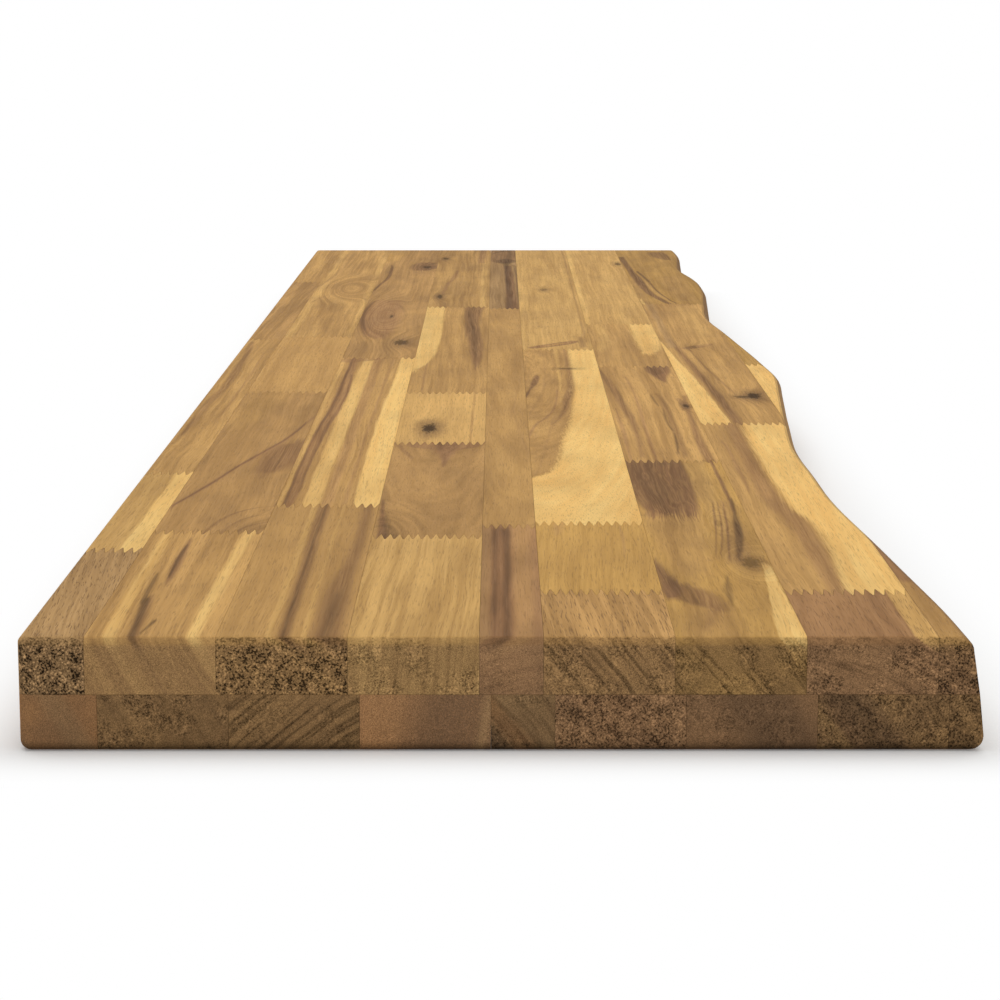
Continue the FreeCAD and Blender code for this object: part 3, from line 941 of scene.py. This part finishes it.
        drawn(STREAK, 1, 3.4, (165.6, -20, 8), (166, 60, 8.4), (165.2, 120, 6.6), (165.8, 225, 9)),
        drawn(BLACK, 0.65, 2.4, (168.4, -20, 3), (167.4, 60, 2.4), (168.2, 120, 2.8), (167.4, 200, 4)),
        drawn(BLACK, 0.45, 2.4, (163.2, 40, 1.4), (163.2, 200, 3)),
        drawn(GREY, 0.6, 3, (159, -20, 4.6), (159, 225, 4.6)),
        drawn(BROWN, 0.5, 4, (173.6, -20, 6), (174, 225, 7)),
    )),
    Figure(TAN, shade=0.98, contrast=0.9, pith=(8, -26), slant=(0, 0.03), streaks=(
        drawn(BROWN, 0.9, 1.2, (178, 430, 1), (175, 490, 1.4), (173, 560, 1)),
        drawn(BROWN, 0.9, 1.2, (171, 520, 1), (174, 600, 1.2), (178, 690, 1.2)),
    )),
    Figure(GREY, shade=0.93, contrast=1.4, streaks=(
        drawn(STREAK, 0.95, 2.4, (174.6, 1080, 9), (174, 1300, 7), (173, 1430, 6)),
        drawn(BLACK, 0.55, 2, (173, 1080, 3), (172.4, 1250, 2.6), (171.6, 1350, 2.4), (171, 1450, 5)),
        drawn(BLACK, 0.5, 1.4, (179, 1080, 1.6), (179.4, 1300, 1.6), (177.4, 1440, 3)),
        drawn(STREAK, 0.7, 4, (168, 1470, 12), (168, 1500, 22), (170, 1560, 24), (170, 1610, 24)),
        drawn(BLACK, 0.5, 2, (160, 1560, 2), (166, 1580, 4), (176, 1596, 5)),
        drawn(BLACK, 0.6, 4, (171, 1462, 8), (172, 1484, 17), (172, 1500, 8), fade=10),
    )),
)), Stave("top_stave_6", (
    Figure(BROWN, shade=1.06, contrast=1.9, pith=(-120, -95), slant=(-0.05, 0), pores=0.6, pits=0.55,
           end_shade=0.66, end_lines=0.5),
    Figure(OLIVE, contrast=0.9, cloud=0.14, slant=(0.03, 0), streaks=(
        drawn(BROWN, 0.7, 3, (188, 190, 1), (189, 200, 4), (190, 225, 5), fade=8),
        drawn(BROWN, 0.8, 1.4, (214, 150, 1), (215, 180, 1.4), (215, 205, 1)),
    )),
    Figure(TAN, contrast=1.2, pith=(-22, -18), slant=(0, 0.1), streaks=(
        drawn(BROWN, 0.9, 1.4, (181, 330, 1), (185, 380, 1.4), (189, 440, 1.6), (192, 500, 1.4),
              (197, 560, 1)),
        drawn(RED, 0.8, 1.4, (180, 460, 1), (184, 500, 1.6), (190, 530, 1.6), (195, 570, 1.4),
              (198, 640, 1)),
        drawn(BROWN, 1, 1.4, (181, 540, 1), (185, 580, 1.6), (190, 640, 1.6), (192, 720, 1.4),
              (193, 800, 1)),
        drawn(SAPWOOD, 0.4, 1.6, (199.6, 640, 1), (200.6, 720, 2), (201, 830, 2)),
        drawn(SAPWOOD, 1.15, 5, (202.5, 205, 52), (202.5, 322, 52), (205.4, 338, 45), (208.4, 356, 37),
              (210, 384, 33), (212, 450, 29.6), (214.4, 515, 25), (216, 570, 22), (216.4, 640, 21),
              (217.6, 740, 18.6), (218, 850, 18)),
        drawn(STREAK, 0.7, 3, (193, 505, 1), (199, 545, 3), (203, 600, 5), (206.4, 660, 4.4),
              (207, 740, 2.6), (206.4, 850, 2), fade=24),
        drawn(STREAK, 0.9, 1.6, (176, 590, 1), (180, 615, 2.2), (183, 645, 1.6), (185.6, 672, 4),
              (187, 705, 1), fade=8),
    ), knots=(Knot((205, 736), (6, 4), 0.5, 2),)),
    Figure(GOLDEN, shade=0.97, contrast=1.1, cloud=0.18, streaks=(
        drawn(RED, 0.95, 2.6, (187, 842, 5), (196, 854, 15), (204, 864, 15), (214, 880, 6), fade=5),
        drawn(TAN, 0.8, 2, (196, 854, 4), (206, 868, 6), fade=5),
        drawn(STREAK, 0.6, 3, (219, 850, 4), (219, 900, 3)),
        drawn(BROWN, 0.9, 1.4, (221.6, 880, 1.4), (222, 1200, 1.4), (222, 1600, 2)),
    ), knots=(Knot((199.8, 1228), (3.4, 12), 0.5, 6),)),
)), Stave("top_stave_7", (
    Figure(OLIVE, shade=0.98, contrast=1.3, cloud=0.3, curl=5, pith=(-110, -95), pits=0.6,
           end_shade=0.6, end_lines=0.5, streaks=(
        drawn(BROWN, 0.6, 8, (236, -20, 22), (239, 40, 16), (236, 80, 8)),
        drawn(TAN, 0.8, 8, (240, 120, 14), (238, 200, 24), (238, 240, 26), fade=30),
        drawn(STREAK, 1, 4, (239, 246, 22), (238.4, 266, 26), (238, 300, 29), (237.6, 395, 28),
              fade=26),
        drawn(BLACK, 0.3, 8, (232, 262, 6), (234, 300, 12), (231, 345, 12), (236, 372, 18), fade=20),
        drawn(RED, 0.6, 6, (226, 236, 1), (230, 246, 6), (241, 236, 7), fade=10),
        drawn(GOLDEN, 0.7, 3, (257, 190, 5), (257, 300, 8), (257.4, 395, 9)),
        drawn(STREAK, 0.95, 1.2, (265.4, 250, 1.4), (266, 300, 1.8), (265.6, 395, 1.8)),
        drawn(BROWN, 0.7, 5, (257, 135, 6), (260, 170, 9), (262, 215, 8), (263, 265, 5)),
        drawn(BLACK, 0.85, 2, (258.4, 142, 1.4), (261, 168, 3), (263.6, 206, 3.4), (265.4, 240, 1.6),
              (266.6, 272, 1)),
        drawn(STREAK, 0.8, 1, (250, 145, 0.6), (253.6, 190, 0.8), (255.6, 225, 1), (258, 266, 0.6)),
        drawn(STREAK, 0.9, 1, (252.4, 150, 0.6), (255.6, 185, 0.8), (258, 225, 0.9), (260, 266, 0.6)),
        drawn(STREAK, 0.9, 1, (255, 140, 0.8), (257.6, 180, 0.9), (260, 220, 1), (262.4, 266, 0.6)),
        drawn(STREAK, 1, 4, (226, 66, 2), (228.6, 84, 8), (227, 106, 6), (224.8, 136, 2), fade=8),
        drawn(BLACK, 0.25, 4, (227, 76, 3), (229, 88, 5), (227.6, 100, 3), fade=10),
        drawn(STREAK, 0.75, 7, (244, 46, 6), (239, 58, 15), (234, 72, 20), (230, 86, 14), fade=10),
        drawn(STREAK, 0.45, 4, (236, 14, 2), (240, 32, 5), (242, 46, 3), fade=10),
        drawn(BLACK, 0.6, 2, (248.6, 56, 1), (249.4, 78, 2.4), (250.6, 100, 1)),
        drawn(SAPWOOD, 1.35, 1.2, (265, -20, 10), (265.7, 30, 8.4), (266.6, 70, 5.8),
              (267.6, 120, 3.2)),
    ), knots=(Knot((262.5, 131), (4.4, 13), 0.55, 40), Knot((256, 218), (1.8, 9), 0.2, 12))),
    Figure(TAN, shade=1.03, contrast=1.5, streaks=(
        drawn(STREAK, 0.7, 2.4, (233.6, 400, 2), (235, 500, 3), (233, 560, 4.4), (231, 620, 4.4),
              (227.4, 690, 3.6), (224, 740, 2)),
        drawn(RED, 0.8, 1.6, (240, 385, 1.4), (240, 470, 2), (241, 560, 1.6), (238, 700, 1)),
        drawn(RED, 0.8, 1.6, (228, 385, 1), (228.4, 470, 2), (228, 560, 1)),
        drawn(STREAK, 0.75, 2.6, (265.4, 380, 5), (265, 450, 4.4), (266, 520, 3.4), (268, 610, 2)),
        drawn(BLACK, 0.7, 1.2, (251.6, 405, 0.6), (253, 430, 1.2), (254, 470, 0.8), fade=6),
        drawn(BLACK, 0.6, 1.2, (254, 480, 0.8), (252.8, 520, 1.4), (253.4, 560, 0.8), fade=10),
        drawn(BLACK, 0.55, 1.2, (251.6, 575, 0.8), (250.4, 600, 1.2), (250, 622, 0.6), fade=6),
        drawn(STREAK, 0.5, 2.4, (254.4, 400, 2.4), (255.6, 500, 3), (253, 620, 2)),
        drawn(STREAK, 1, 3, (261, 676, 2), (260, 712, 11), (260, 724, 14), (260, 760, 15), fade=10),
        drawn(BLACK, 0.4, 4, (259, 712, 5), (260, 728, 10), (260, 760, 12), fade=10),
        drawn(STREAK, 0.7, 3, (264, 560, 2), (265.6, 580, 4), (264, 600, 2), fade=8),
    ), knots=(Knot((266.4, 573), (1.8, 8), 0.8, 6),)),
    Figure(TAN, shade=1, contrast=1.2, streaks=(
        drawn(SAPWOOD, 0.4, 8, (230, 840, 6), (232, 900, 8), (232, 1000, 10), fade=30),
        drawn(SAPWOOD, 0.9, 4, (259, 820, 8), (262, 870, 15), (262, 1000, 16), fade=20),
    )),
    Figure(GOLDEN, shade=0.99, contrast=1.1, cloud=0.16, streaks=(
        drawn(SAPWOOD, 0.5, 2.4, (225, 960, 4), (226, 1100, 5), (226, 1600, 5)),
    ), knots=(Knot((266.6, 1455), (2.8, 13), 0.7, 6),)),
)), Stave("top_stave_8", (
    Figure(RED, shade=1.03, contrast=1.3, pith=(-30, -70), pores=0.5, pits=0.7, end_shade=0.7,
           end_lines=0.35, streaks=(
        drawn(GOLDEN, 1.3, 1.6, (310.8, -20, 7.8), (311, 90, 7.8)),
    )),
    Figure(TAN, streaks=(
        drawn(RED, 0.7, 5, (288, 60, 5), (290, 140, 8), (290, 200, 8), (286, 260, 9), (284, 330, 8),
              (286, 520, 6)),
        drawn(RED, 0.7, 1.6, (276, 300, 1.2), (277, 380, 2.2), (276, 440, 1.4)),
        drawn(SAPWOOD, 1.15, 5, (304, 60, 23), (305, 120, 21), (306, 165, 19), (306, 205, 19),
              (303.6, 250, 24), (302.6, 320, 26), (302.6, 400, 26), (303.6, 520, 24)),
    )),
    Figure(TAN, streaks=(
        drawn(STREAK, 0.85, 3, (290, 495, 5), (287.4, 600, 5), (284, 700, 4.4), (280.4, 800, 4),
              (277, 885, 3)),
        drawn(SAPWOOD, 1.15, 1.4, (276.6, 490, 19), (275.4, 600, 15.4), (273.4, 700, 11.4),
              (271.2, 800, 6), (270.2, 870, 1.4)),
        drawn(GREY, 0.8, 3, (276, 850, 5), (276, 1130, 5)),
        drawn(RED, 0.75, 2.6, (284, 838, 3), (291, 848, 12), (301, 864, 5), fade=5),
        drawn(STREAK, 0.6, 1.6, (297, 630, 1), (293, 690, 1.6), (288, 780, 1.4), (286, 840, 1)),
        drawn(GOLDEN, 0.5, 10, (296, 860, 8), (300, 960, 14), (300, 1100, 18)),
    ), knots=(
        Knot((307, 615), (4.6, 13), 1, 6),
        Knot((300, 610), (5, 6), 0.7, 2),
        Knot((289, 846), (4, 9), 0.3, 4),
    )),
    Figure(OLIVE, shade=0.93, contrast=1.2, cloud=0.3, streaks=(
        drawn(TAN, 0.8, 4, (272, 1120, 8), (273, 1220, 7), (272, 1300, 5)),
        drawn(STREAK, 0.95, 2.4, (290.4, 1122, 4.6), (285, 1160, 5), (279.4, 1220, 6), (277.4, 1300, 7),
              (275, 1380, 6), (272.6, 1520, 5)),
        drawn(GOLDEN, 0.8, 1.6, (294.4, 1122, 2), (289.4, 1160, 2.4), (284.6, 1220, 2.4),
              (282, 1300, 1.6)),
        drawn(STREAK, 0.9, 1.6, (296.4, 1122, 1), (291.6, 1160, 1.4), (287, 1220, 1.6),
              (284.6, 1300, 2), (280, 1380, 2)),
        drawn(BROWN, 0.6, 8, (306, 1150, 14), (304, 1250, 20), (304, 1330, 16)),
        drawn(STREAK, 0.7, 6, (312, 1500, 8), (308, 1540, 18), (306, 1570, 14)),
        drawn(SAPWOOD, 1, 1.5, (271.6, 1118, 3.4), (271.4, 1152, 1)),
    )),
), natural=True), Stave("top_live_edge", (
    Figure(RED, shade=1, pith=(-40, -60), pits=1, end_shade=0.51, end_lines=0.1, streaks=(
        drawn(TAN, 1.2, 3, (324, -20, 30), (322, 90, 30)),
        drawn(RED, 0.8, 6, (331, -20, 6), (328, 30, 6), (322, 90, 6)),
    )),
    Figure(SAPWOOD, streaks=(
        drawn(BROWN, 0.6, 2, (316, 400, 1.6), (321, 560, 2), (328, 700, 2)),
    )),
    Figure(OLIVE, shade=0.93),
    Figure(OLIVE, shade=0.9),
), natural=True))

BASE_STAVES = (Stave("base_straight_edge", (
    Figure(ORANGE, shade=0.98, pits=0.1, contrast=0.5, end_shade=0.72, end_lines=0, cloud=0.5, streaks=(
        drawn(GREY, 0.7, 5, (22, -20, 9), (22, 300, 9)),
        drawn(STREAK, 0.6, 4, (2, -20, 5), (2, 300, 5)),
    )),
    Figure(TAN),
    Figure(BROWN),
)), Stave("base_stave_2", (
    Figure(BROWN, pits=0.7, cloud=0.3, end_shade=0.55, end_lines=0.1),
    Figure(GOLDEN),
    Figure(TAN),
)), Stave("base_stave_3", (
    Figure(BROWN, pith=(120, -150), pits=0.35, end_shade=0.58, end_lines=0.5, contrast=1.6),
    Figure(TAN),
)), Stave("base_stave_4", (
    Figure(ORANGE, pith=(300, -60), pits=0.2, end_shade=0.92, end_lines=0, contrast=0.6, streaks=(
        drawn(BLACK, 0.85, 22, (157, -20, 54), (157, 300, 54)),
        drawn(GREY, 0.8, 4, (158, -20, 4), (158, 300, 4)),
    )),
    Figure(TAN),
    Figure(BROWN),
)), Stave("base_narrow_stave", (
    Figure(GREY, pith=(-60, -50), pits=0.6, end_shade=0.56, end_lines=0.25, cloud=0.3, streaks=(
        drawn(BLACK, 0.8, 5, (166, -20, 7), (166, 300, 7)),
        drawn(ORANGE, 0.8, 5, (175, -20, 8), (175, 300, 8)),
    )),
    Figure(TAN),
)), Stave("base_stave_6", (
    Figure(RED, pits=0.85, cloud=0.3, end_shade=0.68, end_lines=0.1),
    Figure(GOLDEN),
)), Stave("base_stave_7", (
    Figure(RED, pits=0.4, cloud=0.4, contrast=0.7, end_shade=0.66, end_lines=0, streaks=(
        drawn(BLACK, 0.75, 10, (264, -20, 26), (264, 300, 26)),
    )),
    Figure(TAN),
)), Stave("base_stave_8", (
    Figure(BROWN, pith=(-80, -60), pits=0.8, cloud=0.4, contrast=1.4, end_shade=0.54, end_lines=0.15,
           streaks=(
        drawn(GOLDEN, 0.7, 4, (284, -20, 6), (284, 300, 6)),
        drawn(RED, 0.8, 4, (291, -20, 6), (291, 300, 6)),
        drawn(BLACK, 0.75, 8, (299, -20, 17), (299, 300, 17)),
    )),
    Figure(TAN),
    Figure(OLIVE),
), natural=True), Stave("base_live_edge", (
    Figure(BROWN, pits=0.85, cloud=0.3, end_shade=0.45, end_lines=0.1),
    Figure(SAPWOOD),
    Figure(TAN),
), natural=True))


def grid_mesh(name: str, points: np.ndarray) -> bpy.types.Mesh:
    """Makes a mesh of a grid of points: each cell of the grid becomes one four-sided face.

    Args:
        name: The mesh's name.
        points: The points as an array of rows, columns and three numbers.

    Returns:
        The mesh.
    """
    rows, columns, _ = points.shape
    index = np.arange(rows * columns).reshape(rows, columns)
    corners = (index[:-1, :-1], index[:-1, 1:], index[1:, 1:], index[1:, :-1])
    faces = np.stack(corners, axis=-1).reshape(-1, 4)
    mesh = bpy.data.meshes.new(name)
    mesh.from_pydata(points.reshape(-1, 3).tolist(), [], faces.tolist())
    mesh.update()
    return mesh


@dataclass(frozen=True)
class Lamp:
    """A square soft lamp.

    Args:
        name: Its name.
        place: Where it hangs, in metres.
        target: The point that it faces.
        size: The length of its sides.
        power: Its power in watts.
    """

    name: str
    place: tuple[float, float, float]
    target: tuple[float, float, float]
    size: float
    power: float

    def hang(self) -> None:
        """Adds the lamp to the scene."""
        data = bpy.data.lights.new(self.name, "AREA")
        data.size = self.size
        data.energy = self.power
        lamp = bpy.data.objects.new(self.name, data)
        lamp.location = self.place
        facing = Vector(self.target) - Vector(self.place)
        lamp.rotation_euler = facing.to_track_quat("-Z", "Y").to_euler()
        bpy.context.scene.collection.objects.link(lamp)
        log.info("hung %s", self.name)


@dataclass(frozen=True)
class Studio:
    """The pale floor, the soft lamps, the white surroundings and the camera.

    Args:
        floor_size: The length of the floor's sides, in metres.
        floor_lines: How many lines of points it has each way.
        floor_colour: The floor's colour, as sRGB out of 255.
        plain_from: How far from the board, in metres, the floor starts to turn plain white.
        plain_at: How far from it the floor is plain white.
        sky: The strength of the surroundings' light.
        eye: Where the camera stands, in metres.
        pitch: How far the camera looks down, in degrees.
        turn: How far it looks to the left, in degrees.
        lens: Its focal length in millimetres.
        frame_width: The width of its frame in millimetres.
        lamps: The lamp overhead, and the low one in front.
    """

    floor_size: float = 40.0
    floor_lines: int = 9
    floor_colour: tuple[int, int, int] = (254, 254, 253)
    plain_from: float = -0.01
    plain_at: float = 0.045
    sky: float = 0.45
    eye: tuple[float, float, float] = (-0.002521, -1.7288, 0.24867)
    pitch: float = 9.836
    turn: float = -0.04
    lens: float = 100.41
    frame_width: float = 36.0
    lamps: tuple[Lamp, ...] = (
        Lamp("overhead_lamp", (0.0, 0.3, 3.2), (0.0, 0.0, 0.0), 4.0, 72.0),
        Lamp("front_lamp", (0.3, -3.4, 1.1), (0.0, -0.8, 0.0), 2.0, 9.0),
    )

    def lay_floor(self) -> None:
        """Lays the floor, which keeps the board's shadow and turns white away from it."""
        side = np.linspace(-self.floor_size / 2, self.floor_size / 2, self.floor_lines)
        across, along = np.meshgrid(side, side)
        points = np.stack([across, along, np.zeros_like(across)], axis=-1)
        floor = bpy.data.objects.new("floor", grid_mesh("floor", points))
        bpy.context.scene.collection.objects.link(floor)
        floor.data.materials.append(self.floor_finish())
        log.info("laid the floor")

    def seen(self, tree: Tree) -> Socket:
        """Gives 1 for rays that show the surroundings to the camera, straight or reflected."""
        path = tree.node("LightPath").outputs
        seen = tree.math("MAXIMUM", path["Is Camera Ray"], path["Is Glossy Ray"])
        return tree.math("MAXIMUM", seen, path["Is Transmission Ray"])

    def floor_finish(self) -> bpy.types.Material:
        """Builds the floor's pale matt finish.

        Returns:
            The material.
        """
        made = bpy.data.materials.new("pale_floor")
        made.use_nodes = True
        tree = Tree(made.node_tree)
        tree.tree.nodes.clear()
        low, high = (Vector(corner) for corner in CAD_BOX)
        middle, half = (low + high) / 2, (high - low) / 2
        point = tree.node("TexCoord").outputs["Object"]
        off = tree.vector("SUBTRACT", tree.vector("ABSOLUTE", tree.vector(
            "SUBTRACT", point, (middle.x, middle.y, 0.0))), (half.x, half.y, 0.0))
        x, y, _ = tree.split(tree.vector("MAXIMUM", off, (0.0, 0.0, 0.0)))
        away = tree.length(tree.join(x, y, 0.0))
        plain = tree.ramp(away, self.plain_from, self.plain_at)
        plain = tree.times(plain, self.seen(tree))
        matt = tree.node("BsdfDiffuse", {"Color": linear(self.floor_colour)}).outputs[0]
        white = tree.node("Emission", {"Color": WHITE, "Strength": 1.0}).outputs[0]
        both = tree.node("MixShader", {0: plain, 1: matt, 2: white}).outputs[0]
        tree.node("OutputMaterial", {"Surface": both})
        return made

    def light(self) -> None:
        """Sets the white surroundings and hangs the lamps."""
        world = bpy.data.worlds.new("white_surroundings")
        world.use_nodes = True
        bpy.context.scene.world = world
        tree = Tree(world.node_tree)
        tree.tree.nodes.clear()
        strength = tree.ramp(self.seen(tree), 0.0, 1.0, smooth=False)
        strength = tree.times_plus(strength, 1.0 - self.sky, self.sky)
        sky = tree.node("Background", {"Color": WHITE, "Strength": strength})
        tree.node("OutputWorld", {"Surface": sky.outputs[0]})
        for lamp in self.lamps:
            lamp.hang()

    def place_camera(self) -> None:
        """Places the camera where the picture was taken from."""
        data = bpy.data.cameras.new("camera")
        data.lens = self.lens
        data.sensor_width = self.frame_width
        camera = bpy.data.objects.new("camera", data)
        camera.location = self.eye
        camera.rotation_euler = (math.radians(90.0 - self.pitch), 0.0, math.radians(self.turn))
        bpy.context.scene.collection.objects.link(camera)
        bpy.context.scene.camera = camera


def clear_defaults() -> None:
    """Removes what a new Blender file starts with and the frame doesn't use."""
    for name in ("Cube", "Light", "Camera"):
        thing = bpy.data.objects.get(name)
        if thing is not None:
            bpy.data.objects.remove(thing)


def main() -> None:
    """Dresses the board and builds the studio around it."""
    logging.basicConfig(level=logging.INFO, format="%(name)s: %(message)s")
    clear_defaults()
    bpy.context.scene.view_settings.view_transform = "Standard"
    studio = Studio()
    studio.place_camera()
    wood = AcaciaWood(
        figure_group(), end_grain_group(), trace_group(), streak_group(), knot_group(),
        surface_group(),
    )
    Layer(TOP_FACE, TOP_SEED, TOP_STAVES).dress(wood)
    Layer(UNDERSIDE, BASE_SEED, BASE_STAVES).dress(wood)
    studio.lay_floor()
    studio.light()


if __name__ == "__main__":
    main()
